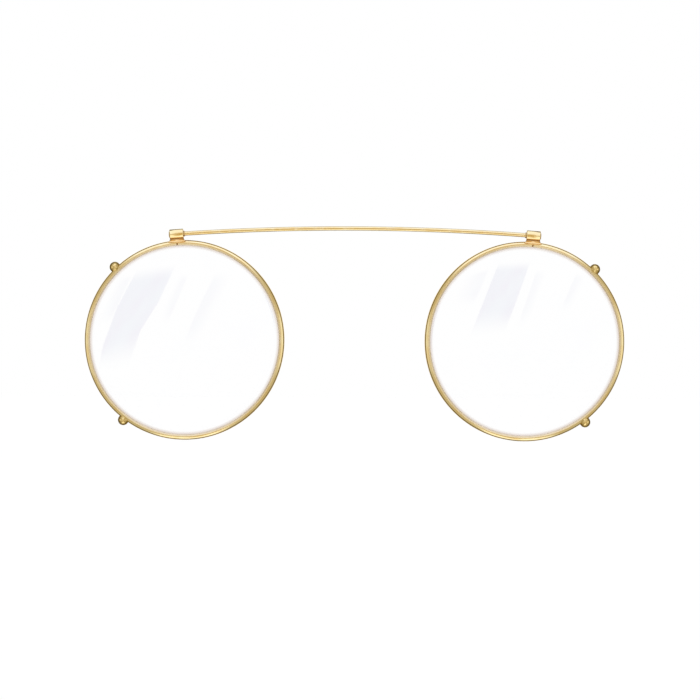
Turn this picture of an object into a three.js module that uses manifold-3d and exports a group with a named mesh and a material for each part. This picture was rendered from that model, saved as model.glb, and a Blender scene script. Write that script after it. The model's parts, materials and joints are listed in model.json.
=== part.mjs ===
// Clip-on eyeglasses: two round lenses in thin metal rims, joined by a bowed spring wire,
// with sleeved claws that hook round the outer edges of a spectacle frame.
// Millimetres. X runs from left to right as seen from the front, Y runs back towards the
// wearer and Z is up. The origin is midway between the lens centres, on the flat back of the rims.
import * as THREE from "three";
import { mergeVertices } from "three/addons/utils/BufferGeometryUtils.js";
import Module from "manifold-3d";

// Rims: the section is crowned in front, flat behind, and grooved inside for the lens
const RIM_DIAMETER = 45;
const RIM_WIDTH = 1.2;
const RIM_DEPTH = 1.7;
const RIM_SPLIT = 0.25;
const CROWN_OUTER_DROP = 1.1;
const CROWN_INNER_DROP = 0.3;
const CROWN_INNER_KNEE = 0.28; // how far from the inside the inner slope turns down
const CREST_SHARE = 0.48;
const BACK_EDGE_ROUND = 0.2;
const GROOVE_MOUTH = 0.8;
const GROOVE_FLOOR = 0.3;
const GROOVE_DEPTH = 0.45;
const LENS_SPACING = 76.6;

// Lenses: no power, the same curve in front and behind
const LENS_THICKNESS = 1.4;
const LENS_CURVE_RADIUS = 180;
const LENS_GAP = 0.05;
const LENS_RINGS = 5;

// Bridge wire and the barrels that turn on its ends
const WIRE_DIAMETER = 0.95;
const BOW_RISE = 1.47;
const BARREL_DIAMETER = 2.25;
const BARREL_LENGTH = 3.1;
const BARREL_ROUND = 0.22;
const BARREL_BEARING = 4.6; // degrees from the top of the rim towards the outside
const BARREL_CENTRE_RADIUS = 23.9; // from the lens centre to the barrel's middle
const RUNNING_GAP = 0.05;
const COLLAR_DIAMETER = 1.3;
const COLLAR_LENGTH = 0.25;
const END_CAP_DIAMETER = 1.4;
const END_CAP_HEIGHT = 0.14;
const END_CAP_RIM = 0.04;

// Saddles: each straddles the split in its rim and carries a barrel
const SADDLE_FOOT_WIDTH = 3.9;
const SADDLE_TOP_WIDTH = 3;
const SADDLE_FOOT_DEPTH = 2.2;
const SADDLE_TOP_DEPTH = 1.5;
const SADDLE_LAP = 0.65; // how far the foot reaches down over the rim's face
const SADDLE_LIP = 0.2; // how far the top rises beside the barrel

// Claws: a knob beside the rim, a leg backwards and a hook inwards behind the spectacle frame
const CLAW_BEARINGS = { upper: 44, lower: 142.8 }; // degrees from the top towards the outside
const CLAW_LEG_DIAMETER = 1.2;
const CLAW_KNOB_DIAMETER = 2.4;
const CLAW_KNOB_CENTRE_RADIUS = 22.7; // from the lens centre to the knob's middle
const CLAW_LEG_RADIUS = 22.95; // from the lens centre to the leg's middle
const CLAW_BEND_RADIUS = 1.25;
const CLAW_HOOK_BACK = 3.6; // from the rim's back to the hook's middle
const CLAW_TIP_RADIUS = 21.6; // from the lens centre to the end of the hook
const SLEEVE_DIAMETER = 2;
const SLEEVE_START = 0.9; // behind the rim's back
const SLEEVE_TIP_WALL = 0.3;

// Fits and fineness
const SOLDER_GAP = 0.03; // left between pieces that solder or glue joins
const ROUND_SEGMENTS = 60;
const SMALL_ROUND_SEGMENTS = 20;
const WIRE_SIDES = 12;
const WIRE_STEPS = 20;
const CLAW_SIDES = 8;
const CLAW_STEPS = 11;
const CURVE_STEPS = 3;
const MERGE_DISTANCE = 1e-4;

const SIDES = [
  { name: "left", sign: -1 },
  { name: "right", sign: 1 },
];

// Places worked out from the driving dimensions
const rimOuter = RIM_DIAMETER / 2;
const rimInner = rimOuter - RIM_WIDTH;
const rimMiddle = -RIM_DEPTH / 2;
const barrelBearing = THREE.MathUtils.degToRad(BARREL_BEARING);
const barrelOffset = BARREL_CENTRE_RADIUS * Math.sin(barrelBearing);
const barrelHeight = BARREL_CENTRE_RADIUS * Math.cos(barrelBearing);
const barrelReach = LENS_SPACING / 2 + barrelOffset;
const bowRadius = (barrelReach ** 2 + BOW_RISE ** 2) / (2 * BOW_RISE);
const barrelSlope = Math.asin(barrelReach / bowRadius);
const wireRadius = WIRE_DIAMETER / 2;
const legRadius = CLAW_LEG_DIAMETER / 2;
const legEnd = CLAW_HOOK_BACK - CLAW_BEND_RADIUS;

const FRONT_OUTLINE = new THREE.Matrix4().makeBasis(
  new THREE.Vector3(1, 0, 0),
  new THREE.Vector3(0, 0, 1),
  new THREE.Vector3(0, -1, 0),
);
const SIDE_OUTLINE = new THREE.Matrix4().makeBasis(
  new THREE.Vector3(0, 1, 0),
  new THREE.Vector3(0, 0, 1),
  new THREE.Vector3(1, 0, 0),
);

const wasm = await Module();
wasm.setup();

// A flat path lifted into space: place turns its two coordinates into a point.
class LiftedPath extends THREE.Curve {
  constructor(path, place) {
    super();
    this.path = path;
    this.place = place;
  }

  getPoint(t) {
    const flat = this.path.getPoint(t);
    return this.place(flat.x, flat.y);
  }
}

function gold() {
  return new THREE.MeshStandardMaterial({ color: 0xd9b265, roughness: 0.22, metalness: 1 });
}

function clearGlass() {
  return new THREE.MeshStandardMaterial({
    color: 0xf1f2f8,
    roughness: 0.03,
    metalness: 0,
    transparent: true,
    opacity: 0.2,
  });
}

function clearPlastic() {
  return new THREE.MeshStandardMaterial({
    color: 0xe9e6dc,
    roughness: 0.35,
    metalness: 0,
    transparent: true,
    opacity: 0.6,
  });
}

function named(name, geometry, material) {
  const mesh = new THREE.Mesh(geometry, material);
  mesh.name = name;
  return mesh;
}

function toSolid(geometry) {
  const bare = geometry.clone();
  bare.deleteAttribute("normal");
  bare.deleteAttribute("uv");
  const merged = mergeVertices(bare, MERGE_DISTANCE);
  const mesh = new wasm.Mesh({
    numProp: 3,
    vertProperties: merged.attributes.position.array,
    triVerts: new Uint32Array(merged.index.array),
  });
  return new wasm.Manifold(mesh);
}

function fromSolid(solid) {
  const mesh = solid.getMesh();
  const geometry = new THREE.BufferGeometry();
  geometry.setAttribute("position", new THREE.BufferAttribute(mesh.vertProperties, 3));
  geometry.setIndex(new THREE.BufferAttribute(mesh.triVerts, 1));
  geometry.computeVertexNormals();
  return geometry;
}

// A closed section, given as radius and height, turned round the Y axis.
function turned(section, segments) {
  return new THREE.LatheGeometry([...section, section[0]], segments);
}

// A round bar along a curve.
function barAlong(curve, radius, sides, steps) {
  const round = new THREE.Shape().absarc(0, 0, radius, 0, 2 * Math.PI, false);
  return new THREE.ExtrudeGeometry(round, { extrudePath: curve, steps, curveSegments: sides / 2 });
}

function slab(outline, thickness, view) {
  const geometry = new THREE.ExtrudeGeometry(outline, {
    depth: thickness,
    bevelEnabled: false,
    curveSegments: CURVE_STEPS,
  });
  return geometry.translate(0, 0, -thickness / 2).applyMatrix4(view);
}

// The rim's section without its groove, larger all round by the given gap.
function rimOutside(gap) {
  const outer = rimOuter + gap;
  const inner = rimInner - gap;
  const front = -RIM_DEPTH - gap;
  const crest = inner + CREST_SHARE * (outer - inner);
  const section = new THREE.Path();
  section.moveTo(inner, gap - BACK_EDGE_ROUND);
  section.quadraticCurveTo(inner, gap, inner + BACK_EDGE_ROUND, gap);
  section.lineTo(outer - BACK_EDGE_ROUND, gap);
  section.quadraticCurveTo(outer, gap, outer, gap - BACK_EDGE_ROUND);
  section.lineTo(outer, front + CROWN_OUTER_DROP);
  section.quadraticCurveTo(outer, front, crest, front);
  section.quadraticCurveTo(inner + CROWN_INNER_KNEE, front, inner, front + CROWN_INNER_DROP);
  return section.getPoints(CURVE_STEPS);
}

function rimSection() {
  const floor = rimInner + GROOVE_DEPTH;
  const groove = [
    new THREE.Vector2(rimInner, rimMiddle - GROOVE_MOUTH / 2),
    new THREE.Vector2(floor, rimMiddle - GROOVE_FLOOR / 2),
    new THREE.Vector2(floor, rimMiddle + GROOVE_FLOOR / 2),
    new THREE.Vector2(rimInner, rimMiddle + GROOVE_MOUTH / 2),
  ];
  return [...rimOutside(0), ...groove].reverse();
}

const rimEnvelope = toSolid(turned(rimOutside(SOLDER_GAP).reverse(), ROUND_SEGMENTS));

function rim(side) {
  const ring = toSolid(turned(rimSection(), ROUND_SEGMENTS));
  const saw = new THREE.BoxGeometry(RIM_SPLIT, 2 * RIM_DEPTH, 2 * RIM_WIDTH);
  saw.translate(0, rimMiddle, rimOuter - RIM_WIDTH / 2);
  saw.rotateY(side.sign * barrelBearing);
  return named(`${side.name}_rim`, fromSolid(ring.subtract(toSolid(saw))), gold());
}

// A domed disc with a bevel round its edge that sits in the rim's groove.
function lens(side) {
  const shoulder = rimInner - LENS_GAP;
  const tip = rimInner + GROOVE_DEPTH - LENS_GAP;
  const chord = Math.sqrt(LENS_CURVE_RADIUS ** 2 - shoulder ** 2);
  const face = (middle) => {
    const points = [];
    for (let ring = 0; ring <= LENS_RINGS; ring += 1) {
      const radius = (shoulder * ring) / LENS_RINGS;
      const dome = Math.sqrt(LENS_CURVE_RADIUS ** 2 - radius ** 2) - chord;
      points.push(new THREE.Vector2(radius, middle - dome));
    }
    return points;
  };
  const bevel = [
    new THREE.Vector2(shoulder, rimMiddle - GROOVE_MOUTH / 2 + LENS_GAP),
    new THREE.Vector2(tip, rimMiddle - GROOVE_FLOOR / 2 + LENS_GAP),
    new THREE.Vector2(tip, rimMiddle + GROOVE_FLOOR / 2 - LENS_GAP),
    new THREE.Vector2(shoulder, rimMiddle + GROOVE_MOUTH / 2 - LENS_GAP),
  ];
  const front = face(rimMiddle - LENS_THICKNESS / 2);
  const back = face(rimMiddle + LENS_THICKNESS / 2).reverse();
  const geometry = new THREE.LatheGeometry([...front, ...bevel, ...back], ROUND_SEGMENTS);
  return named(`${side.name}_lens`, geometry, clearGlass());
}

// One round wire, bowed upwards, that runs through both barrels to their outer ends.
function bridgeWire() {
  const halfAngle = barrelSlope + BARREL_LENGTH / 2 / bowRadius;
  const bow = new THREE.Path();
  bow.absarc(0, 0, bowRadius, Math.PI / 2 + halfAngle, Math.PI / 2 - halfAngle, true);
  const drop = barrelHeight + BOW_RISE - bowRadius;
  const route = new LiftedPath(bow, (x, z) => new THREE.Vector3(x, rimMiddle, z + drop));
  return named("bridge_wire", barAlong(route, wireRadius, WIRE_SIDES, WIRE_STEPS), gold());
}

// The section of a tube, given as radius and place along its length, with rounded outer edges.
function tubeSection(bore, outer, length, round) {
  const end = length / 2;
  const section = new THREE.Path();
  section.moveTo(bore, -end);
  section.lineTo(outer - round, -end);
  section.quadraticCurveTo(outer, -end, outer, -end + round);
  section.lineTo(outer, end - round);
  section.quadraticCurveTo(outer, end, outer - round, end);
  section.lineTo(bore, end);
  return section.getPoints(CURVE_STEPS);
}

function alongX(geometry) {
  return geometry.rotateZ(-Math.PI / 2);
}

function barrel(side) {
  const section = tubeSection(
    wireRadius + RUNNING_GAP,
    BARREL_DIAMETER / 2,
    BARREL_LENGTH,
    BARREL_ROUND,
  );
  return named(`${side.name}_barrel`, alongX(turned(section, SMALL_ROUND_SEGMENTS)), gold());
}

// A ring fixed to the wire, against the barrel's mouth on the bridge side.
function wireCollar(side) {
  const section = tubeSection(
    wireRadius + SOLDER_GAP,
    COLLAR_DIAMETER / 2,
    COLLAR_LENGTH,
    COLLAR_LENGTH / 4,
  );
  const collar = named(
    `${side.name}_wire_collar`,
    alongX(turned(section, SMALL_ROUND_SEGMENTS)),
    gold(),
  );
  collar.position.x = -side.sign * (BARREL_LENGTH / 2 + RUNNING_GAP + COLLAR_LENGTH / 2);
  return collar;
}

// A domed head fixed to the end of the wire, which keeps the barrel on it.
function wireEndCap(side) {
  const radius = END_CAP_DIAMETER / 2;
  const section = new THREE.Path();
  section.moveTo(0, 0);
  section.lineTo(radius, 0);
  section.lineTo(radius, END_CAP_RIM);
  section.quadraticCurveTo(radius, END_CAP_HEIGHT, 0, END_CAP_HEIGHT);
  const dome = alongX(new THREE.LatheGeometry(section.getPoints(CURVE_STEPS), SMALL_ROUND_SEGMENTS));
  const cap = named(`${side.name}_wire_end_cap`, dome, gold());
  cap.position.x = side.sign * (BARREL_LENGTH / 2 + RUNNING_GAP);
  cap.rotation.y = side.sign > 0 ? 0 : Math.PI;
  return cap;
}

// The barrel with what holds it on the wire, placed in its lens unit.
function barrelPivot(side) {
  const pivot = new THREE.Group();
  pivot.position.set(side.sign * barrelOffset, rimMiddle, barrelHeight);
  pivot.rotation.y = side.sign * barrelSlope;
  pivot.add(barrel(side), wireCollar(side), wireEndCap(side));
  pivot.updateMatrix();
  return pivot;
}

function saddleFront() {
  const low = rimOuter - SADDLE_LAP;
  const high = BARREL_CENTRE_RADIUS - BARREL_DIAMETER / 2 + SADDLE_LIP;
  const foot = SADDLE_FOOT_WIDTH / 2;
  const top = SADDLE_TOP_WIDTH / 2;
  const outline = new THREE.Shape();
  outline.moveTo(-top, high);
  outline.quadraticCurveTo(-top, rimOuter, -foot, (low + rimOuter) / 2);
  outline.quadraticCurveTo(-foot, low, 0, low);
  outline.quadraticCurveTo(foot, low, foot, (low + rimOuter) / 2);
  outline.quadraticCurveTo(top, rimOuter, top, high);
  return outline;
}

function saddleProfile() {
  const low = rimOuter - 2 * SADDLE_LAP;
  const high = BARREL_CENTRE_RADIUS;
  const foot = SADDLE_FOOT_DEPTH / 2;
  const top = SADDLE_TOP_DEPTH / 2;
  const outline = new THREE.Shape();
  outline.moveTo(-foot, low);
  outline.lineTo(foot, low);
  outline.lineTo(foot, rimOuter - SADDLE_LAP / 2);
  outline.quadraticCurveTo(foot, rimOuter, top, BARREL_CENTRE_RADIUS - BARREL_DIAMETER / 2);
  outline.lineTo(top, high);
  outline.lineTo(-top, high);
  outline.lineTo(-top, BARREL_CENTRE_RADIUS - BARREL_DIAMETER / 2);
  outline.quadraticCurveTo(-foot, rimOuter, -foot, rimOuter - SADDLE_LAP / 2);
  return outline;
}

// A foot that straddles the rim where it is split, hollowed on top for the barrel.
function saddle(side, pivot) {
  const front = slab(saddleFront(), 2 * SADDLE_FOOT_DEPTH, FRONT_OUTLINE);
  const profile = slab(saddleProfile(), 2 * SADDLE_FOOT_WIDTH, SIDE_OUTLINE);
  const seat = new THREE.CylinderGeometry(
    BARREL_DIAMETER / 2 + SOLDER_GAP,
    BARREL_DIAMETER / 2 + SOLDER_GAP,
    2 * BARREL_LENGTH,
    SMALL_ROUND_SEGMENTS,
  );
  alongX(seat).applyMatrix4(pivot.matrix);
  for (const geometry of [front, profile]) {
    geometry.translate(0, rimMiddle, 0).rotateY(side.sign * barrelBearing);
  }
  const block = toSolid(front).intersect(toSolid(profile));
  const solid = block.subtract(rimEnvelope).subtract(toSolid(seat));
  return named(`${side.name}_barrel_saddle`, fromSolid(solid), gold());
}

// The line of a claw's leg and hook, from a place along the leg to a distance from the lens centre.
function clawRoute(start, tip) {
  const line = new THREE.Path();
  line.moveTo(CLAW_LEG_RADIUS, start);
  line.lineTo(CLAW_LEG_RADIUS, legEnd);
  line.absarc(CLAW_LEG_RADIUS - CLAW_BEND_RADIUS, legEnd, CLAW_BEND_RADIUS, 0, Math.PI / 2, false);
  line.lineTo(tip, CLAW_HOOK_BACK);
  return new LiftedPath(line, (radius, back) => new THREE.Vector3(0, back, radius));
}

function claw(side, level) {
  const knob = new THREE.SphereGeometry(CLAW_KNOB_DIAMETER / 2, 2 * CLAW_SIDES, CLAW_SIDES);
  knob.translate(0, rimMiddle, CLAW_KNOB_CENTRE_RADIUS);
  const leg = barAlong(clawRoute(rimMiddle, CLAW_TIP_RADIUS), legRadius, CLAW_SIDES, CLAW_STEPS);
  const bearing = side.sign * THREE.MathUtils.degToRad(CLAW_BEARINGS[level]);
  const whole = toSolid(knob.rotateY(bearing)).add(toSolid(leg.rotateY(bearing)));
  return named(`${side.name}_${level}_claw`, fromSolid(whole.subtract(rimEnvelope)), gold());
}

// A clear sleeve, closed at its tip, pushed over the hook.
function clawSleeve(side, level) {
  const outside = clawRoute(SLEEVE_START, CLAW_TIP_RADIUS - SLEEVE_TIP_WALL);
  const inside = clawRoute(0, CLAW_TIP_RADIUS - SOLDER_GAP);
  const skin = barAlong(outside, SLEEVE_DIAMETER / 2, CLAW_SIDES, CLAW_STEPS);
  const bore = barAlong(inside, legRadius + 2 * SOLDER_GAP, CLAW_SIDES, CLAW_STEPS);
  const tube = toSolid(skin).subtract(toSolid(bore));
  const geometry = fromSolid(tube).rotateY(
    side.sign * THREE.MathUtils.degToRad(CLAW_BEARINGS[level]),
  );
  return named(`${side.name}_${level}_claw_sleeve`, geometry, clearPlastic());
}

function lensUnit(side) {
  const unit = new THREE.Group();
  unit.position.x = (side.sign * LENS_SPACING) / 2;
  const pivot = barrelPivot(side);
  unit.add(rim(side), lens(side), saddle(side, pivot), pivot);
  for (const level of Object.keys(CLAW_BEARINGS)) {
    unit.add(claw(side, level), clawSleeve(side, level));
  }
  return unit;
}

const clipOn = new THREE.Group();
clipOn.add(bridgeWire());
for (const side of SIDES) {
  clipOn.add(lensUnit(side));
}

export default clipOn;
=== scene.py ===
# %% [markdown]
# # Clip-on eyeglasses in polished gold
#
# Two round lenses sit in thin gold rims. A bowed spring wire joins the rims, and four claws
# hook them over the edges of a spectacle frame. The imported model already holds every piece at
# its real size and place. This lesson gives each piece its fine shape and its finish, in the
# same frame and in metres, and then lights the whole like a photograph on white.

# %% Load the frame
import json
import math

import bmesh
import bpy
from mathutils import Matrix, Vector

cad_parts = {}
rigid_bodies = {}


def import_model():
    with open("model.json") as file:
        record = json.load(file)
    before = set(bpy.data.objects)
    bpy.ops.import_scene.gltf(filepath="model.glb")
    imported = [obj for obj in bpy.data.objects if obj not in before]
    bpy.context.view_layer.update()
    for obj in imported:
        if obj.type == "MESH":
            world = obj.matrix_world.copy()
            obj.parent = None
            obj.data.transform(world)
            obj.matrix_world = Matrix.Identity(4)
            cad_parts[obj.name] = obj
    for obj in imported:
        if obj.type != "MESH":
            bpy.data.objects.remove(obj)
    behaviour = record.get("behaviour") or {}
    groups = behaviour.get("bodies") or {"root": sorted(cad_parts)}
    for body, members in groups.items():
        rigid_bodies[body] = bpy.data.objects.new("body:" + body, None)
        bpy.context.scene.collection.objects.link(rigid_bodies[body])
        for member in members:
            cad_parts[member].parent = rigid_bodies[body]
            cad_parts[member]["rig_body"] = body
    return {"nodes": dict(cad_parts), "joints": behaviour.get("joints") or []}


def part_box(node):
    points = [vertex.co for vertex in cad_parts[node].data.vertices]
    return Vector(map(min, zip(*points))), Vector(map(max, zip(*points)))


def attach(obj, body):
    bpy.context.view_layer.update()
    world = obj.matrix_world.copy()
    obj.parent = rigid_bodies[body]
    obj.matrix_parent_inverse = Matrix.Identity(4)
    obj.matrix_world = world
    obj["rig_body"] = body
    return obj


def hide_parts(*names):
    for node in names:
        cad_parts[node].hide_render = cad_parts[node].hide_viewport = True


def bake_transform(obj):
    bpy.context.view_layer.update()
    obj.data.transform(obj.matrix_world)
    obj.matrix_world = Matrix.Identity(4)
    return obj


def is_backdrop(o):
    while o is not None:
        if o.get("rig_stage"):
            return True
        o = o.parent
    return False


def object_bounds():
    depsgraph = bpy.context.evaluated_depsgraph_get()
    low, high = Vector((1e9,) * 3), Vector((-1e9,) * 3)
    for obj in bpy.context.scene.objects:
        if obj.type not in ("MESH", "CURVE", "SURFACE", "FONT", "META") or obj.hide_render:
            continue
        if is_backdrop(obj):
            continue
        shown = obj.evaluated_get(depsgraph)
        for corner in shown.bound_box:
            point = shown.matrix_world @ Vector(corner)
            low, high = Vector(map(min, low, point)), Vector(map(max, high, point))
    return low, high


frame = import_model()
cad_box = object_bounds()
MM = 0.001
SIDES = {"left": -1, "right": 1}
joints = {joint["name"]: joint for joint in frame["joints"]}

# %% [markdown]
# ## Where the pieces are
#
# The frame knows all the places that matter: a rim's box gives the lens centre and the rim's
# size, and a swivel joint gives the middle and the direction of a barrel. Reading them here,
# and not typing them again, keeps the looks and the working model together.

# %% Places read from the frame


def lens_frame(side):
    """A frame at the lens centre, on the flat back of the rim."""
    low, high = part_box(f"{side}_rim")
    return Matrix.Translation(((low.x + high.x) / 2, high.y, (low.z + high.z) / 2))


def barrel_frame(side):
    """A frame in the middle of the barrel, with X along its bore."""
    swivel = joints[f"{side}_lens_swivel"]
    slope = math.asin(-swivel["axis"][2])
    return Matrix.Translation(swivel["pos_m"]) @ Matrix.Rotation(slope, 4, "Y")


def barrel_bearing(side):
    """The angle from the top of the rim to the barrel, turning towards the right."""
    away = barrel_frame(side).translation - lens_frame(side).translation
    return math.atan2(away.x, away.z)


rim_low, rim_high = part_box("right_rim")
rim_outer = (rim_high.x - rim_low.x) / 2
rim_depth = rim_high.y - rim_low.y
rim_middle = -rim_depth / 2
for side in SIDES:
    print(side, "barrel at", round(math.degrees(barrel_bearing(side)), 2), "degrees from the top")

# %% [markdown]
# ## Outlines and skins
#
# Every metal piece here is drawn wire, turned bar or a small soldered foot. All of them can be
# made the same way: draw one flat outline, repeat it as a row of loops, and stretch a skin of
# quads over the loops. A modifier stack could do it too, but a skin made from loops is closed by
# construction, and its points fall exactly where the outline says.

# %% Helpers that draw outlines and skin loops
CURVE_STEPS = 10
WELD = 1e-5 * MM
SHARP = math.radians(38)


class Outline:
    """A flat line of straight stretches and of curves that are cut into short steps."""

    def __init__(self, x, y):
        self.points = [Vector((x, y))]

    def line(self, x, y):
        self.points.append(Vector((x, y)))
        return self

    def curve(self, knee_x, knee_y, x, y):
        start = self.points[-1]
        knee = Vector((knee_x, knee_y))
        end = Vector((x, y))
        for step in range(1, CURVE_STEPS + 1):
            share = step / CURVE_STEPS
            self.points.append(start.lerp(knee, share).lerp(knee.lerp(end, share), share))
        return self


def skin(loops, joined=False):
    """One closed mesh over a row of loops, which is joined end to end or capped at both ends."""
    shell = bmesh.new()
    rows = [[shell.verts.new(point) for point in loop] for loop in loops]
    pairs = list(zip(rows, rows[1:]))
    if joined:
        pairs.append((rows[-1], rows[0]))
    else:
        shell.faces.new(rows[0])
        shell.faces.new(rows[-1])
    for row, after in pairs:
        for corners in zip(row, row[1:] + row[:1], after[1:] + after[:1], after):
            shell.faces.new(corners)
    bmesh.ops.remove_doubles(shell, verts=shell.verts, dist=WELD)
    bmesh.ops.recalc_face_normals(shell, faces=shell.faces)
    mesh = bpy.data.meshes.new("skin")
    shell.to_mesh(mesh)
    shell.free()
    mesh.shade_smooth()
    mesh.set_sharp_from_angle(angle=SHARP)
    return mesh


def circle(centre, across, up, radius, sides):
    """A loop of points round a centre, in the plane of two directions."""
    turns = [2 * math.pi * side / sides for side in range(sides)]
    return [centre + radius * (math.cos(turn) * across + math.sin(turn) * up) for turn in turns]


def eased(value, low, high):
    """0 below low, 1 above high, and a smooth rise between them."""
    share = min(max((value - low) / (high - low), 0), 1)
    return share * share * (3 - 2 * share)


def add_object(name, data):
    """An object in the scene that shows the data."""
    added = bpy.data.objects.new(name, data)
    bpy.context.scene.collection.objects.link(added)
    return added


def new_piece(name, mesh, material, node):
    """Puts a mesh in the scene, and says which node of the model it stands for."""
    mesh.name = name
    mesh.materials.append(material)
    piece = add_object(name, mesh)
    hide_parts(node)
    print(f"{name}: {len(mesh.polygons)} faces, stands for {node}")
    return piece


def add_piece(name, mesh, place, material, node):
    """A new piece in its place, on the body of the node that it stands for."""
    piece = new_piece(name, mesh, material, node)
    piece.matrix_world = place
    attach(piece, frame["nodes"][node]["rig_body"])


# %% [markdown]
# ## Shader maths in plain Python
#
# A finish is a small sum: some noise, times a strength, plus a base. Written as nodes, that sum is
# hard to read, so one class wraps a socket and lets ordinary operators add the Math nodes. Any
# other node comes from its one method: the kind of node, its settings, then its inputs.

# %% A socket that can be added and multiplied


class Signal:
    """A socket of a node tree. Sums of signals add Math nodes to the tree."""

    def __init__(self, tree, socket=None):
        self.tree = tree
        self.socket = socket

    def node(self, kind, settings=None, inputs=None, output=0):
        made = self.tree.nodes.new("ShaderNode" + kind)
        for name, value in (settings or {}).items():
            setattr(made, name, value)
        for key, value in (inputs or {}).items():
            if isinstance(value, Signal):
                self.tree.links.new(value.socket, made.inputs[key])
            else:
                made.inputs[key].default_value = value
        return Signal(self.tree, made.outputs[output] if made.outputs else None)

    def maths(self, operation, first, second=0.0):
        return self.node("Math", {"operation": operation}, {0: first, 1: second})

    def __add__(self, other):
        return self.maths("ADD", self, other)

    def __sub__(self, other):
        return self.maths("SUBTRACT", self, other)

    def __rsub__(self, other):
        return self.maths("SUBTRACT", other, self)

    def __mul__(self, other):
        return self.maths("MULTIPLY", self, other)

    def __truediv__(self, other):
        return self.maths("DIVIDE", self, other)

    __radd__ = __add__
    __rmul__ = __mul__


MIX_A, MIX_B, MIX_RESULT = 6, 7, 2


def mix_colours(share, first, second):
    """The first colour where share is 0 and the second where it is 1."""
    inputs = {0: share, MIX_A: first, MIX_B: second}
    return share.node("Mix", {"data_type": "RGBA"}, inputs, MIX_RESULT)


def rise(value, low, high):
    """0 below low, 1 above high, and a smooth rise between them."""
    inputs = {"Value": value, "From Min": low, "From Max": high}
    return value.node("MapRange", {"interpolation_type": "SMOOTHSTEP"}, inputs)


def noise(place, size, detail=2.0):
    """Soft noise from 0 to 1 whose lumps are about size across."""
    return place.node("TexNoise", None, {"Vector": place, "Scale": 1 / size, "Detail": detail})


def stretched(place, x, y, z):
    """A place with each of its directions scaled."""
    return place.node("VectorMath", {"operation": "MULTIPLY"}, {0: place, 1: (x, y, z)})


def part(place, name):
    """The X, Y or Z part of a place or a direction."""
    return place.node("SeparateXYZ", None, {0: place}, name)


def distance(place, point):
    """How far a place is from a point."""
    settings = {"operation": "DISTANCE"}
    return place.node("VectorMath", settings, {0: place, 1: point}, "Value")


def new_finish(name):
    """A material with an empty node tree, and a signal to build on."""
    material = bpy.data.materials.new(name)
    material.use_nodes = True
    material.node_tree.nodes.clear()
    return material, Signal(material.node_tree)


print("shader helpers are ready")

# %% [markdown]
# ## Gold plate
#
# The metal is gold-plated spring alloy, polished by hand. On the real object it is never one
# colour: the plate is a little thinner and paler in some places, tool marks run the way the piece
# was drawn or turned, rubbing has left the rims' backs pale and satin, and the heat of soldering
# has left a brown stain beside each joint. Some tones are painted light as well: the tone of the
# rims' satin inner slopes is a painted reflection, the brown where each barrel meets its foot is
# partly painted shade, and the brown sides of the claws' balls are painted shade. All gold pieces
# share this function. What differs is passed in: how the marks run, where the heat was, and where
# the plate is worn.

# %% The shared gold finish
PALE_GOLD = (0.98, 0.82, 0.46, 1)
DEEP_GOLD = (0.95, 0.74, 0.36, 1)
WORN_GOLD = (0.95, 0.83, 0.60, 1)
# Brown of solder stains, also used as painted shade where the barrels meet their feet.
STAIN_AND_PAINTED_SHADE_BROWN = (0.32, 0.14, 0.03, 1)
EDGE_TINT = (0.92, 0.78, 0.50, 1)
PLATE_PATCH = 2.4 * MM
BUFFING_WAVE = 1.1 * MM
MARK_HEIGHT = 0.0008 * MM
WAVE_HEIGHT = 0.005 * MM
WEAR_PATCH = 1.3 * MM
WEAR_SHARE = 0.3
STAIN_EVEN = 0.85
LINES_DULL = 0.04
PATCHES_DULL = 0.03
STAIN_DULLS = 0.12
WEAR_DULLS = 0.42


def patchy_wear(place):
    """Small patches where the plate is worn a little."""
    return WEAR_SHARE * rise(noise(place, WEAR_PATCH), 0.5, 0.75)


def gold_finish(name, marks, heat, roughness, **options):
    """Polished plate. Marks, heat and wear are each worked out at a place on the piece."""
    wear = options.get("wear", patchy_wear)
    tones = options.get("tones", (PALE_GOLD, DEEP_GOLD))
    worn_tone = options.get("worn_tone", WORN_GOLD)
    wave = options.get("wave", WAVE_HEIGHT)
    wave_size = options.get("wave_size", BUFFING_WAVE)
    material, start = new_finish(name)
    place = start.node("TexCoord", output="Object")
    patches = rise(noise(place, PLATE_PATCH, 3.0), 0.35, 0.7)
    worn = wear(place)
    # The stain is a real solder stain, and under the barrels and on the saddles' tops it is also
    # painted shade.
    stain = heat(place) * (STAIN_EVEN + (1 - STAIN_EVEN) * patches)
    # The worn tone is real wear, and on the rims' inner slopes and the claws' balls it is painted
    # light.
    plate = mix_colours(worn, mix_colours(patches, *tones), worn_tone)
    colour = mix_colours(stain, plate, STAIN_AND_PAINTED_SHADE_BROWN)
    lines = marks(place)
    dullness = roughness + LINES_DULL * lines + PATCHES_DULL * patches
    dullness = dullness + STAIN_DULLS * stain + WEAR_DULLS * worn
    height = {"Height": noise(place, wave_size), "Distance": wave}
    buffed = start.node("Bump", None, height)
    marked = start.node("Bump", None, {"Height": lines, "Distance": MARK_HEIGHT, "Normal": buffed})
    inputs = {
        "Base Color": colour,
        "Metallic": 1.0,
        "Roughness": dullness,
        "Specular Tint": EDGE_TINT,
        "Normal": marked,
    }
    metal = start.node("BsdfPrincipled", None, inputs)
    start.node("OutputMaterial", None, {"Surface": metal})
    print(f"{name}: {len(material.node_tree.nodes)} nodes")
    return material


# %% [markdown]
# ## Rims
#
# A rim is a length of eyewire: wire rolled to a section with a crowned face, a flat back and a
# groove inside for the lens. It is bent into a ring, and its two ends meet under the barrel with a
# fine split between them. A torus would lose the section, so the section itself is swept from one
# end of the split round to the other, and each end is filed a little smaller.

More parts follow.
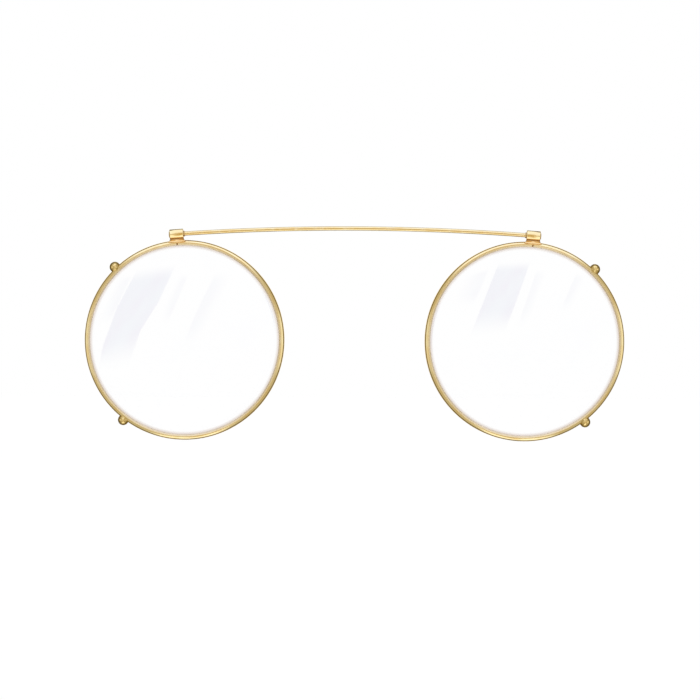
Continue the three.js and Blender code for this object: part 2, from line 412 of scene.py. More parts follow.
# %% The eyewire's section and the split ring
RIM_WIDTH = 1.2 * MM
RIM_SPLIT = 0.25 * MM
CROWN_OUTER_DROP = 1.1 * MM
CROWN_INNER_DROP = 0.2 * MM
INNER_EDGE = 0.28 * MM
CREST_SHARE = 0.40
BACK_ROUND = 0.2 * MM
GROOVE_MOUTH = 0.8 * MM
GROOVE_FLOOR = 0.3 * MM
GROOVE_DEPTH = 0.45 * MM
FILED_LENGTH = 0.05 * MM
FILED_SHARE = 0.93
# Tone of the rims' rubbed backs, and painted reflection on their inner slopes.
BACK_WEAR_AND_PAINTED_SLOPE_GOLD = (0.875, 0.74, 0.51, 1)
ROLLED_LINE = 0.14 * MM
RIM_STAIN = 0.5
RIM_STAIN_REACH = 0.55 * MM
SLOPE_SATIN_AND_PAINTED_TONE = 0.9
SLOPE_FULL = 0.2 * MM
SLOPE_END = 0.55 * MM
BACK_WEAR = 0.5
BACK_START = -0.35 * MM
BACK_FULL = -0.05 * MM
RIM_STEPS = 300
rim_inner = rim_outer - RIM_WIDTH


def eyewire_section():
    """The section as radius and place behind the rim's back, once round."""
    crest = rim_inner + CREST_SHARE * RIM_WIDTH
    front = -rim_depth
    floor = rim_inner + GROOVE_DEPTH
    section = Outline(rim_inner, -BACK_ROUND)
    section.curve(rim_inner, 0, rim_inner + BACK_ROUND, 0)
    section.line(rim_outer - BACK_ROUND, 0)
    section.curve(rim_outer, 0, rim_outer, -BACK_ROUND)
    section.line(rim_outer, front + CROWN_OUTER_DROP)
    section.curve(rim_outer, front, crest, front)
    section.curve(rim_inner + INNER_EDGE, front, rim_inner, front + CROWN_INNER_DROP)
    section.line(rim_inner, rim_middle - GROOVE_MOUTH / 2)
    section.line(floor, rim_middle - GROOVE_FLOOR / 2)
    section.line(floor, rim_middle + GROOVE_FLOOR / 2)
    section.line(rim_inner, rim_middle + GROOVE_MOUTH / 2)
    return section.points


def rim_mesh(side):
    section = eyewire_section()
    middle = sum(section, Vector((0, 0))) / len(section)
    filed = [middle.lerp(point, FILED_SHARE) for point in section]
    half_split = RIM_SPLIT / 2 / rim_outer
    filed_turn = FILED_LENGTH / rim_outer
    first = half_split + filed_turn
    turn = 2 * (math.pi - first) / RIM_STEPS
    stations = [(half_split, filed)]
    stations += [(first + step * turn, section) for step in range(RIM_STEPS + 1)]
    stations.append((2 * math.pi - half_split, filed))
    loops = []
    for angle, points in stations:
        bearing = barrel_bearing(side) + angle
        across, up = math.sin(bearing), math.cos(bearing)
        loops.append([Vector((p.x * across, p.y, p.x * up)) for p in points])
    return skin(loops)


def ring_radius(place):
    """How far a place is from the lens axis."""
    return distance(stretched(place, 1, 0, 1), (0, 0, 0))


def eyewire_marks(place):
    """Fine lines that run round the ring, as rolling leaves them."""
    radius = ring_radius(place)
    depth = part(place, "Y")
    across = place.node("CombineXYZ", None, {"X": radius, "Y": depth})
    return noise(across, ROLLED_LINE, 1.0)


def eyewire_heat(place):
    """The stain beside the soldered saddle at the top of the ring."""
    height = part(place, "Z")
    return RIM_STAIN * rise(height, rim_outer - RIM_STAIN_REACH, rim_outer)


def eyewire_wear_and_painted_slope(place):
    """Pale and satin on the back, which rubs. The inner slope is satin, and its tone is painted
    reflection.
    """
    # The inner slope's tone is painted reflection, and its extra roughness is satin wear.
    slope = 1 - rise(ring_radius(place), rim_inner + SLOPE_FULL, rim_inner + SLOPE_END)
    depth = part(place, "Y")
    back = rise(depth, BACK_START, BACK_FULL)
    return place.maths("MAXIMUM", SLOPE_SATIN_AND_PAINTED_TONE * slope, BACK_WEAR * back)


eyewire_gold = gold_finish(
    "eyewire_gold",
    eyewire_marks,
    eyewire_heat,
    roughness=0.1,
    wear=eyewire_wear_and_painted_slope,
    worn_tone=BACK_WEAR_AND_PAINTED_SLOPE_GOLD,
)
for side in SIDES:
    mesh = rim_mesh(side)
    add_piece(f"{side}_rim_eyewire", mesh, lens_frame(side), eyewire_gold, f"{side}_rim")

# %% [markdown]
# ## Barrels
#
# Each barrel is a short tube, turned from bar, that the end of the bridge wire runs through. Its
# outer edges are rounded and its mouth is broken with a small chamfer, which is what shows as a
# dark ring in the photograph. A turned piece is one section carried round an axis, so the loops
# are the circles that each point of the section draws.

# %% Turned pieces and the barrels
BARREL_DIAMETER = 2.25 * MM
BARREL_LENGTH = 3.1 * MM
BARREL_ROUND = 0.14 * MM
BORE_CHAMFER = 0.09 * MM
RUNNING_GAP = 0.05 * MM
WIRE_DIAMETER = 0.95 * MM
TURNED_SIDES = 72
LATHE_LINE = 0.13 * MM
LATHE_RUN = 0.02
# The bottom strip of the barrel is painted brown: partly a solder stain, partly painted shade.
UNDERSIDE_SHADE_BOTTOM = -0.98 * BARREL_DIAMETER / 2
UNDERSIDE_SHADE_TOP = -0.90 * BARREL_DIAMETER / 2
bore_radius = WIRE_DIAMETER / 2 + RUNNING_GAP


def turned(section, joined):
    """A section given as place along X and distance from it, carried round the X axis."""
    across, up = Vector((0, 1, 0)), Vector((0, 0, 1))
    loops = [circle(Vector((p.x, 0, 0)), across, up, p.y, TURNED_SIDES) for p in section]
    return skin(loops, joined)


def tube_section(bore, outer, length, edge_round, chamfer):
    """A tube's section with rounded outer edges and chamfered mouths, once round."""
    end = length / 2
    section = Outline(-end, bore + chamfer)
    section.line(-end, outer - edge_round)
    section.curve(-end, outer, -end + edge_round, outer)
    section.line(end - edge_round, outer)
    section.curve(end, outer, end, outer - edge_round)
    section.line(end, bore + chamfer)
    section.line(end - chamfer, bore)
    section.line(-end + chamfer, bore)
    return section.points


def lathe_marks(place):
    """Fine rings round the X axis, as the lathe tool leaves them."""
    return noise(stretched(place, 1, LATHE_RUN, LATHE_RUN), LATHE_LINE, 1.0)


def barrel_stain_and_painted_shade(place):
    """Brown along the barrel's bottom: a solder stain, and painted shade where barrel and saddle meet.
    """
    height = part(place, "Z")
    return 1 - rise(height, UNDERSIDE_SHADE_BOTTOM, UNDERSIDE_SHADE_TOP)


barrel_gold = gold_finish(
    "barrel_gold", lathe_marks, barrel_stain_and_painted_shade, roughness=0.05, wave=0.4 * WAVE_HEIGHT
)
barrel_section = tube_section(
    bore_radius, BARREL_DIAMETER / 2, BARREL_LENGTH, BARREL_ROUND, BORE_CHAMFER
)
for side in SIDES:
    mesh = turned(barrel_section, joined=True)
    add_piece(f"{side}_barrel_tube", mesh, barrel_frame(side), barrel_gold, f"{side}_barrel")

# %% [markdown]
# ## Saddles
#
# The saddle is the little foot between barrel and rim. It straddles the split, flares out towards
# the rim and is drawn in under the barrel, and it shows orange-brown from the soldering. Under the
# barrel its brown is partly painted shade. It is made from its front outline: loops of that outline
# run from the middle of the front face, over its rounded edge, to the middle of the back face, and
# the depth at each height follows the taper.

# %% The saddles
SADDLE_FOOT_WIDTH = 3.9 * MM
SADDLE_TOP_WIDTH = 3.0 * MM
SADDLE_FOOT_DEPTH = 2.0 * MM
SADDLE_TOP_DEPTH = 1.2 * MM
SADDLE_LAP = 0.65 * MM
SADDLE_SINK = 0.5 * MM
SADDLE_EDGE = 0.16 * MM
COPPER_GOLD = (0.98, 0.64, 0.28, 1)
TUMBLED_DIMPLE = 0.2 * MM
SIDE_SPOT_SIZE = 0.45 * MM
SIDE_SPOT_BROWN = 0.6
ALL_OVER_STAIN = 0.08
SPOTS_START = 0.7 * MM
SPOTS_FULL = 1.5 * MM
UNDER_BARREL_SHADE_START = 0.08 * MM
UNDER_BARREL_SHADE_FULL = 0.22 * MM
EDGE_STEPS = 5
FACE_SHARES = (0.0, 0.35, 0.7)


def saddle_outline(barrel_distance):
    """The foot seen from the front, as place along the rim and distance from the lens centre."""
    low = rim_outer - SADDLE_LAP
    knee = rim_outer - SADDLE_LAP / 2
    high = barrel_distance - BARREL_DIAMETER / 2 + SADDLE_SINK
    foot, top = SADDLE_FOOT_WIDTH / 2, SADDLE_TOP_WIDTH / 2
    outline = Outline(-top, high)
    outline.curve(-top, rim_outer, -foot, knee)
    outline.curve(-foot, low, 0, low)
    outline.curve(foot, low, foot, knee)
    outline.curve(top, rim_outer, top, high)
    return outline.points


def saddle_half_depth(height, barrel_distance):
    """Half the depth at a distance from the lens centre: full over the rim, less under the barrel."""
    share = eased(height, rim_outer - SADDLE_LAP / 2, barrel_distance - BARREL_DIAMETER / 2)
    return (SADDLE_FOOT_DEPTH + share * (SADDLE_TOP_DEPTH - SADDLE_FOOT_DEPTH)) / 2


def saddle_frame(side):
    """A frame at the lens centre with Z towards the barrel."""
    return lens_frame(side) @ Matrix.Rotation(barrel_bearing(side), 4, "Y")


def saddle_mesh(side):
    away = barrel_frame(side).translation - lens_frame(side).translation
    barrel_distance = math.hypot(away.x, away.z)
    outline = saddle_outline(barrel_distance)
    middle = Vector((0, rim_outer))
    quarter = [math.pi / 2 * step / EDGE_STEPS for step in range(EDGE_STEPS + 1)]
    rounds = [(SADDLE_EDGE * (1 - math.sin(q)), SADDLE_EDGE * (1 - math.cos(q))) for q in quarter]
    front = [(share, 0, 0) for share in FACE_SHARES] + [(1, inset, back) for inset, back in rounds]
    loops = []
    for facing, stations in ((-1, front), (1, list(reversed(front)))):
        for share, inset, back in stations:
            loop = []
            for point in outline:
                towards = (middle - point).normalized()
                if share < 1:
                    flat = middle.lerp(point + towards * SADDLE_EDGE, share)
                else:
                    flat = point + towards * inset
                half = saddle_half_depth(flat.y, barrel_distance) - back
                loop.append(Vector((flat.x, rim_middle + facing * half, flat.y)))
            loops.append(loop)
    return skin(loops)


def tumbled_marks(place):
    """Small soft dimples, as tumbling and hand polishing leave them."""
    return noise(place, TUMBLED_DIMPLE)


def saddle_stain_and_painted_shade(place):
    """A little brown all over, brown at the top under the barrel, which is a solder stain and painted
    shade, and brown spots that grow towards both sides.
    """
    height = part(place, "Z")
    along = place.maths("ABSOLUTE", part(place, "X"))
    # Brown spots that grow towards the left and right sides of the foot.
    spots = rise(noise(place, SIDE_SPOT_SIZE), 0.42, 0.62) * rise(along, SPOTS_START, SPOTS_FULL)
    # The top under the barrel is painted brown: a solder stain and painted shade.
    top = rise(height, rim_outer + UNDER_BARREL_SHADE_START, rim_outer + UNDER_BARREL_SHADE_FULL)
    stain_and_shade_under_barrel = ALL_OVER_STAIN + (1 - ALL_OVER_STAIN) * top
    return place.maths("MAXIMUM", stain_and_shade_under_barrel, SIDE_SPOT_BROWN * spots)


saddle_tones = (COPPER_GOLD, DEEP_GOLD)
saddle_gold = gold_finish(
    "saddle_gold", tumbled_marks, saddle_stain_and_painted_shade, roughness=0.14, tones=saddle_tones
)
for side in SIDES:
    node = f"{side}_barrel_saddle"
    add_piece(f"{side}_saddle_foot", saddle_mesh(side), saddle_frame(side), saddle_gold, node)

# %% [markdown]
# ## Solder in the split
#
# When the foot was soldered on, a little solder ran down between the two ends of the rim. It lies
# behind the rim's face, so the split shows as a small brown tick and not as a hole. It is a short
# bar with a hollow front, made as loops along its length: each is the bar's section at one height.

# %% The solder web
WEB_WIDTH = 0.22 * MM
WEB_FRONT = -1.52 * MM
WEB_BACK = -1.28 * MM
WEB_HOLLOW = 0.05 * MM
WEB_LEAN = 0.1 * MM
WEB_LOW = 0.1 * MM
WEB_HIGH = 0.5 * MM
WEB_STEPS = 6


def web_loop(height, lean):
    """The bar's section at one height: a straight back and a hollow front that leans backwards."""
    half_width = WEB_WIDTH / 2
    section = Outline(half_width, WEB_BACK)
    section.line(-half_width, WEB_BACK)
    section.line(-half_width, WEB_FRONT + lean)
    section.curve(0, WEB_FRONT + lean + 2 * WEB_HOLLOW, half_width, WEB_FRONT + lean)
    return [Vector((p.x, p.y, height)) for p in section.points]


def solder_heat(place):
    """Brown all over, in patches."""
    return 0.55 + 0.3 * noise(place, 0.15 * MM)


solder_gold = gold_finish(
    "solder_gold", tumbled_marks, solder_heat, roughness=0.25, tones=saddle_tones
)
web_low, web_high = rim_inner + WEB_LOW, rim_outer - WEB_HIGH
web_shares = [step / WEB_STEPS for step in range(WEB_STEPS + 1)]
for side in SIDES:
    loops = [web_loop(web_low + (web_high - web_low) * s, WEB_LEAN * (1 - s)) for s in web_shares]
    node = f"{side}_barrel_saddle"
    add_piece(f"{side}_split_solder", skin(loops), saddle_frame(side), solder_gold, node)

# %% [markdown]
# ## Bridge wire
#
# One round spring wire, bowed upwards, joins the two lens units, and it bends when the claws are
# pulled apart. The bend is shared between two joints, and a blended piece can follow only one, so
# the wire is made as a left and a right half that meet in the middle. Each half is one arc of the
# bow that runs on to the outer end of its barrel.

# %% The bowed wire in two halves
BOW_RISE = 1.47 * MM
WIRE_SIDES = 32
WIRE_STEPS = 120
DIE_LINE = 0.13 * MM
DIE_RUN = 0.01
barrel_reach = barrel_frame("right").translation.x
barrel_height = barrel_frame("right").translation.z
bow_radius = (barrel_reach**2 + BOW_RISE**2) / (2 * BOW_RISE)
bow_end = math.asin(barrel_reach / bow_radius) + BARREL_LENGTH / 2 / bow_radius


def bow_loop(angle):
    """The wire's round section at an angle from the middle of the bow."""
    outward = Vector((math.sin(angle), 0, math.cos(angle)))
    centre = Vector((0, rim_middle, barrel_height + BOW_RISE - bow_radius)) + bow_radius * outward
    return circle(centre, Vector((0, 1, 0)), outward, WIRE_DIAMETER / 2, WIRE_SIDES)


def drawn_marks(place):
    """Faint lines along the wire, as the drawing die leaves them."""
    return noise(stretched(place, DIE_RUN, 1, 1), DIE_LINE, 1.0)


def wire_heat(place):
    """The wire is sprung, not soldered, so only a trace of stain shows."""
    return 0.12 * noise(place, 6 * MM)


wire_gold = gold_finish(
    "wire_gold", drawn_marks, wire_heat, roughness=0.06, wave=0.6 * WAVE_HEIGHT
)
for side, sign in SIDES.items():
    loops = [bow_loop(sign * bow_end * step / WIRE_STEPS) for step in range(WIRE_STEPS + 1)]
    half = new_piece(f"{side}_half_of_bow", skin(loops), wire_gold, "bridge_wire")
    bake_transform(half)

# %% [markdown]
# ## Collars and end caps
#
# A collar is fixed on the wire at the barrel's mouth, and a domed head closes the wire's outer end,
# so that the barrel can turn on the wire but not slide off it. Both are tiny turned pieces, made
# as the barrels are: the collar from a closed section, the head from an open one that starts and
# ends on the axis.

# %% The collars and the domed heads
COLLAR_DIAMETER = 1.3 * MM
COLLAR_LENGTH = 0.25 * MM
COLLAR_ROUND = 0.08 * MM
COLLAR_GAP = 0.03 * MM
END_CAP_DIAMETER = 1.4 * MM
END_CAP_HEIGHT = 0.14 * MM
END_CAP_EDGE = 0.04 * MM


def small_part_heat(place):
    """A little stain in patches, from fixing the piece to the wire."""
    return 0.3 + 0.4 * noise(place, 0.8 * MM)


def end_cap_section(sign):
    """The domed head's section from axis to axis, outwards from the barrel's end."""
    radius = END_CAP_DIAMETER / 2
    section = Outline(0, 0)
    section.line(0, radius - END_CAP_EDGE / 2)
    section.curve(0, radius, sign * END_CAP_EDGE, radius)
    section.curve(sign * END_CAP_HEIGHT, radius, sign * END_CAP_HEIGHT, 0)
    return section.points


small_part_gold = gold_finish("small_part_gold", lathe_marks, small_part_heat, roughness=0.1)
collar_section = tube_section(
    WIRE_DIAMETER / 2 + COLLAR_GAP, COLLAR_DIAMETER / 2, COLLAR_LENGTH, COLLAR_ROUND, COLLAR_GAP
)
for side, sign in SIDES.items():
    end = BARREL_LENGTH / 2 + RUNNING_GAP
    collar_place = Matrix.Translation((-sign * (end + COLLAR_LENGTH / 2), 0, 0))
    add_piece(
        f"{side}_collar_ring",
        turned(collar_section, joined=True),
        barrel_frame(side) @ collar_place,
        small_part_gold,
        f"{side}_wire_collar",
    )
    add_piece(
        f"{side}_domed_head",
        turned(end_cap_section(sign), joined=False),
        barrel_frame(side) @ Matrix.Translation((sign * end, 0, 0)),
        small_part_gold,
        f"{side}_wire_end_cap",
    )

# %% [markdown]
# ## Claws
#
# A claw is one piece of wire with a ball at its front end. The ball is soldered to the outer edge
# of the rim, and the wire runs back past the spectacle frame and turns in behind it. From the front
# only the ball shows. Its front is dimpled and glints in spots. Its sides are painted a dull brown,
# painted shade that draws the ball's dark outline, and brown spots painted on its front leave the
# gold between them as painted glints.
# The whole claw is a round bar whose radius changes along its path, so its loops are circles along
# a leg, which is cranked a little behind the ball, a quarter bend and a hook.

# %% A claw's path and its radius along it
CLAW_BEARINGS = {"upper": math.radians(44), "lower": math.radians(142.8)}
KNOB_DIAMETER = 2.4 * MM
KNOB_DISTANCE = 22.7 * MM
LEG_DIAMETER = 1.2 * MM
LEG_DISTANCE = 22.95 * MM
HOOK_BACK = 3.6 * MM
HOOK_BEND = 1.25 * MM
HOOK_TIP = 21.6 * MM
KNOB_FILLET = 0.3 * MM
CRANK_START = 0.8 * MM
CRANK_END = 1.7 * MM
CLAW_SIDES = 40
CLAW_STEPS = 90
DIMPLE_SIZE = 0.45 * MM
DIMPLE_DEPTH = 0.06 * MM
# Brown of the painted shade on the balls' sides and of the spots on their fronts.
BALL_PAINTED_SHADE_BROWN = (0.46, 0.31, 0.08, 1)
BALL_GOLD = (1.00, 0.82, 0.40, 1)
BALL_DEEP = (0.97, 0.68, 0.26, 1)
SOLDER_SINK = 0.3 * MM
SOLDER_STAIN = 0.5
SOLDER_FULL = 0.5 * MM
SOLDER_END = 1.1 * MM
GLINT_SPOT_SIZE = 0.28 * MM
SIDE_SHADE_START = 0.26 * KNOB_DIAMETER
SIDE_SHADE_FULL = 0.38 * KNOB_DIAMETER
SIDE_PAINTED_SHADE = 0.9
PAINTED_GLINT_SPOTS = 0.7
leg_straight = HOOK_BACK - HOOK_BEND - rim_middle
bend_length = HOOK_BEND * math.pi / 2
hook_straight = LEG_DISTANCE - HOOK_BEND - HOOK_TIP
claw_length = leg_straight + bend_length + hook_straight


def claw_station(along):
    """The claw's centre and outward direction at a length along it, from the middle of the knob."""
    if along <= leg_straight:
        share = eased(along, CRANK_START, CRANK_END)
        away = KNOB_DISTANCE + share * (LEG_DISTANCE - KNOB_DISTANCE)
        return Vector((0, rim_middle + along, away)), Vector((0, 0, 1))
    turn = min((along - leg_straight) / HOOK_BEND, math.pi / 2)
    outward = Vector((0, math.sin(turn), math.cos(turn)))
    centre = Vector((0, HOOK_BACK - HOOK_BEND, LEG_DISTANCE - HOOK_BEND)) + HOOK_BEND * outward
    past_bend = max(along - leg_straight - bend_length, 0)
    return centre - Vector((0, 0, past_bend)), outward


def claw_radius(along):
    """The ball's radius, eased into the leg's, and rounded off at the tip."""
    knob, leg = KNOB_DIAMETER / 2, LEG_DIAMETER / 2
    ball = math.sqrt(max(knob**2 - along**2, 0))
    to_tip = claw_length - along
    tip = math.sqrt(max(leg**2 - max(leg - to_tip, 0) ** 2, 0))
    if along < 0:
        return ball
    lead = max(KNOB_FILLET - abs(ball - leg), 0) / KNOB_FILLET
    return max(ball, tip) + KNOB_FILLET * lead**2 / 4 * (to_tip > leg)


def claw_mesh():
    knob, leg = KNOB_DIAMETER / 2, LEG_DIAMETER / 2
    turns = [math.pi / 2 * step / CURVE_STEPS for step in range(CURVE_STEPS + 1)]
    ball_steps = [-knob * math.cos(turn) for turn in turns[:-1]]
    straight = claw_length - leg
    run_steps = [straight * step / CLAW_STEPS for step in range(CLAW_STEPS)]
    tip_steps = [straight + leg * math.sin(turn) for turn in turns]
    loops = []
    for along in ball_steps + run_steps + tip_steps:
        centre, outward = claw_station(along)
        loops.append(circle(centre, Vector((1, 0, 0)), outward, claw_radius(along), CLAW_SIDES))
    return skin(loops)


def claw_frame(side, level):
    """A frame at the lens centre with Z towards the claw."""
    bearing = SIDES[side] * CLAW_BEARINGS[level]
    return lens_frame(side) @ Matrix.Rotation(bearing, 4, "Y")


def claw_heat(place):
    """The stain where the ball is soldered to the rim."""
    near_rim = distance(place, (0, rim_middle, rim_outer - SOLDER_SINK))
    return SOLDER_STAIN * (1 - rise(near_rim, SOLDER_FULL, SOLDER_END))


def ball_painted_shade_and_glints(place):
    """Painted shade round the sides of the ball, and brown spots on its front that leave painted
    glints between them.
    """
    off_axis = distance(stretched(place, 1, 0, 1), (0, 0, KNOB_DISTANCE))
    # The sides of the ball are painted brown: painted shade that draws its dark outline.
    sides = rise(off_axis, SIDE_SHADE_START, SIDE_SHADE_FULL)
    # Sharp brown spots on the front leave the gold between them as painted glints.
    spots = rise(noise(place, GLINT_SPOT_SIZE), 0.46, 0.55)
    return place.maths("MAXIMUM", SIDE_PAINTED_SHADE * sides, PAINTED_GLINT_SPOTS * spots)


claw_gold = gold_finish(
    "claw_gold",
    tumbled_marks,
    claw_heat,
    roughness=0.05,
    wear=ball_painted_shade_and_glints,
    tones=(BALL_GOLD, BALL_DEEP),
    worn_tone=BALL_PAINTED_SHADE_BROWN,
    wave=DIMPLE_DEPTH,
    wave_size=DIMPLE_SIZE,
)
for side in SIDES:
    for level in CLAW_BEARINGS:
        node = f"{side}_{level}_claw"
        add_piece(f"{node}_hook", claw_mesh(), claw_frame(side, level), claw_gold, node)

# %% [markdown]
# ## Clear sleeves
#
# A length of soft clear tubing is pushed over each hook, so that it doesn't scratch the spectacle
# frame. It is closed and rounded at its tip. Its skin starts at the closed end of the bore, runs
# back to the mouth, turns over a rounded lip and returns along the outside, which gives one closed
# wall of even thickness.

# %% The tubing's finish
TUBING_TINT = (0.97, 0.95, 0.89, 1)
TUBING_CLOUD = (0.90, 0.86, 0.75, 1)
TUBING_RIPPLE = 0.01 * MM
RIPPLE_SIZE = 0.5 * MM
CLOUD_SIZE = 0.9 * MM


def tubing_finish():
    material, start = new_finish("clear_tubing")
    place = start.node("TexCoord", output="Object")
    clouds = rise(noise(place, CLOUD_SIZE, 3.0), 0.4, 0.75)
    ripple = {"Height": noise(place, RIPPLE_SIZE), "Distance": TUBING_RIPPLE}
    inputs = {
        "Base Color": mix_colours(clouds, TUBING_TINT, TUBING_CLOUD),
        "Roughness": 0.09 + 0.08 * clouds,
        "IOR": 1.45,
        "Transmission Weight": 1.0,
        "Normal": start.node("Bump", None, ripple),
    }
    start.node("OutputMaterial", None, {"Surface": start.node("BsdfPrincipled", None, inputs)})
    return material


clear_tubing = tubing_finish()
print("clear_tubing:", len(clear_tubing.node_tree.nodes), "nodes")

# %% The sleeves
SLEEVE_DIAMETER = 2.0 * MM
SLEEVE_START = 0.9 * MM
SLEEVE_TIP_WALL = 0.3 * MM
SLEEVE_BORE_GAP = 0.06 * MM
SLEEVE_STEPS = 60


def sleeve_mesh():
    outer = SLEEVE_DIAMETER / 2
    bore = LEG_DIAMETER / 2 + SLEEVE_BORE_GAP
    lip = (outer - bore) / 2
    mouth = SLEEVE_START - rim_middle
    bore_end = claw_length + SLEEVE_BORE_GAP / 2
    tip = claw_length + SLEEVE_TIP_WALL
    quarter = [math.pi / 2 * step / CURVE_STEPS for step in range(CURVE_STEPS + 1)]
    stations = [(bore_end - bore * (1 - math.cos(q)), bore * math.sin(q)) for q in quarter]
    run = bore_end - bore - mouth - lip
    stations += [(mouth + lip + run * (1 - s / SLEEVE_STEPS), bore) for s in range(1, SLEEVE_STEPS)]
    for turn in quarter + [math.pi / 2 + q for q in quarter[1:]]:
        stations.append((mouth + lip * (1 - math.sin(turn)), bore + lip * (1 - math.cos(turn))))
    run = tip - outer - mouth - lip
    stations += [(mouth + lip + run * s / SLEEVE_STEPS, outer) for s in range(1, SLEEVE_STEPS)]
    stations += [(tip - outer * (1 - math.sin(q)), outer * math.cos(q)) for q in quarter]
    loops = []
    for along, radius in stations:
        centre, outward = claw_station(along)
        loops.append(circle(centre, Vector((1, 0, 0)), outward, radius, CLAW_SIDES))
    return skin(loops)


for side in SIDES:
    for level in CLAW_BEARINGS:
        add_piece(
            f"{side}_{level}_tubing",
            sleeve_mesh(),
            claw_frame(side, level),
            clear_tubing,
            f"{side}_{level}_claw_sleeve",
        )

# %% [markdown]
# ## Lenses
#
# Each lens is a thin glass dome with the same curve on both faces, so it has no power. Its edge is
# ground to a blunt bevel that sits in the rim's groove, and the sharp corners are broken. Real
# glass needs real thickness: the front and back faces are both there, so that the glass bends and
# mirrors light as the real lens does. Towards its edge the glass is tinted a brownish grey, which
# is painted shade that draws a soft grey line inside the rim.

# %% The glass finish
GLASS_TINT = (0.998, 0.998, 1.0, 1)
GLASS_EDGE_PAINTED_SHADE = (0.69, 0.58, 0.50, 1)
EDGE_SHADE = 0.80 * MM
GLASS_BLOOM = (0.99, 0.99, 0.998, 1)
BLOOM_SIZE = 9 * MM
LENS_GAP = 0.05 * MM
SHOULDER_GAP = 0.002 * MM
lens_shoulder = rim_inner - SHOULDER_GAP


def lens_finish():
    material, start = new_finish("lens_glass")
    place = start.node("TexCoord", output="Object")
    # The glass is darker towards its edge: painted shade for the grey line inside the rim.
    edge = rise(ring_radius(place), lens_shoulder - EDGE_SHADE, lens_shoulder)
    bloom = rise(noise(place, BLOOM_SIZE, 3.0), 0.45, 0.8)
    clear = mix_colours(bloom, GLASS_TINT, GLASS_BLOOM)
    inputs = {
        "Base Color": mix_colours(edge, clear, GLASS_EDGE_PAINTED_SHADE),
        "Roughness": 0.0,
        "IOR": 1.52,
        "Transmission Weight": 1.0,
        "Coat Weight": 1.0,
        "Coat Roughness": 0.0,
        "Coat IOR": 1.8,
    }
    start.node("OutputMaterial", None, {"Surface": start.node("BsdfPrincipled", None, inputs)})
    return material


lens_glass = lens_finish()
print("lens_glass:", len(lens_glass.node_tree.nodes), "nodes")

# %% The domed lenses
LENS_THICKNESS = 1.4 * MM
LENS_CURVE_RADIUS = 180 * MM
LENS_CORNER = 0.04 * MM
LENS_RINGS = 24
LENS_SIDES = 300


def lens_dome(radius):
    """How far a face stands forward of its own edge at a distance from the axis."""
    chord = math.sqrt(LENS_CURVE_RADIUS**2 - (rim_inner - LENS_GAP) ** 2)
    return math.sqrt(LENS_CURVE_RADIUS**2 - radius**2) - chord


def lens_section():
    """The lens from its front middle to its back middle, as radius and place behind the rim's back."""
    front_edge = rim_middle - LENS_THICKNESS / 2
    back_edge = rim_middle + LENS_THICKNESS / 2
    bevel_tip = rim_inner + GROOVE_DEPTH - LENS_GAP
    mouth = GROOVE_MOUTH / 2 - LENS_GAP
    floor = GROOVE_FLOOR / 2 - LENS_GAP
    face_radius = lens_shoulder - LENS_CORNER
    radii = [face_radius * ring / LENS_RINGS for ring in range(LENS_RINGS + 1)]
    section = Outline(0, front_edge - lens_dome(0))
    for radius in radii[1:]:
        section.line(radius, front_edge - lens_dome(radius))
    section.line(lens_shoulder, front_edge + LENS_CORNER)
    section.line(lens_shoulder, rim_middle - mouth)
    section.line(bevel_tip, rim_middle - floor)
    section.line(bevel_tip, rim_middle + floor)
    section.line(lens_shoulder, rim_middle + mouth)
    section.line(lens_shoulder, back_edge - LENS_CORNER)
    for radius in reversed(radii):
        section.line(radius, back_edge - lens_dome(radius))
    return section.points


def lens_mesh():
    across, up = Vector((1, 0, 0)), Vector((0, 0, 1))
    loops = [circle(Vector((0, p.y, 0)), across, up, p.x, LENS_SIDES) for p in lens_section()]
    return skin(loops)


for side in SIDES:
    add_piece(
        f"{side}_lens_glass",
        lens_mesh(),
        lens_frame(side),
        lens_glass,
        f"{side}_lens",
    )

# %% [markdown]
# ## Floor
#
# The photograph has a plain white ground. The floor here is a wide pale sheet below the part. To
# the camera it gives back half of a steady white and half of the light that really falls on it, so
# it reads as white paper and still takes a soft shadow.

# %% The white floor
FLOOR_DROP = 0.11
FLOOR_SIZE = 12.0
FLOOR_WHITE = (0.97, 0.97, 0.97, 1)
FIBRE_SIZE = 0.4 * MM
FIBRE_HEIGHT = 0.02 * MM
STEADY_SHARE = 0.5


def path_share(start, *rays):
    """1 where the ray is of one of the named kinds, and otherwise 0."""
    shares = [start.node("LightPath", output=ray) for ray in rays]
    total = shares[0]
    for share in shares[1:]:
        total = start.maths("MAXIMUM", total, share)
    return total


def floor_finish():
    material, start = new_finish("white_paper")
    place = start.node("TexCoord", output="Object")
    fibre = {"Height": noise(place, FIBRE_SIZE, 3.0), "Distance": FIBRE_HEIGHT}
    paper = start.node(
        "BsdfDiffuse",
        None,
        {"Color": FLOOR_WHITE, "Normal": start.node("Bump", None, fibre)},
    )
    steady = start.node("Emission", None, {"Color": (1, 1, 1, 1), "Strength": 1.0})
    seen = STEADY_SHARE * path_share(start, "Is Camera Ray", "Is Transmission Ray")
    sheet = start.node("MixShader", None, {0: seen, 1: paper, 2: steady})
    start.node("OutputMaterial", None, {"Surface": sheet})
    return material


reach = FLOOR_SIZE / 2
floor_mesh = bpy.data.meshes.new("floor")
floor_mesh.from_pydata(
    [(-reach, -reach, 0), (reach, -reach, 0), (reach, reach, 0), (-reach, reach, 0)],
    [],
    [(0, 1, 2, 3)],
)
floor_mesh.materials.append(floor_finish())
floor = add_object("floor", floor_mesh)
floor.location.z = -FLOOR_DROP
floor.visible_glossy = False
floor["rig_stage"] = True
print("floor at", floor.location.z)

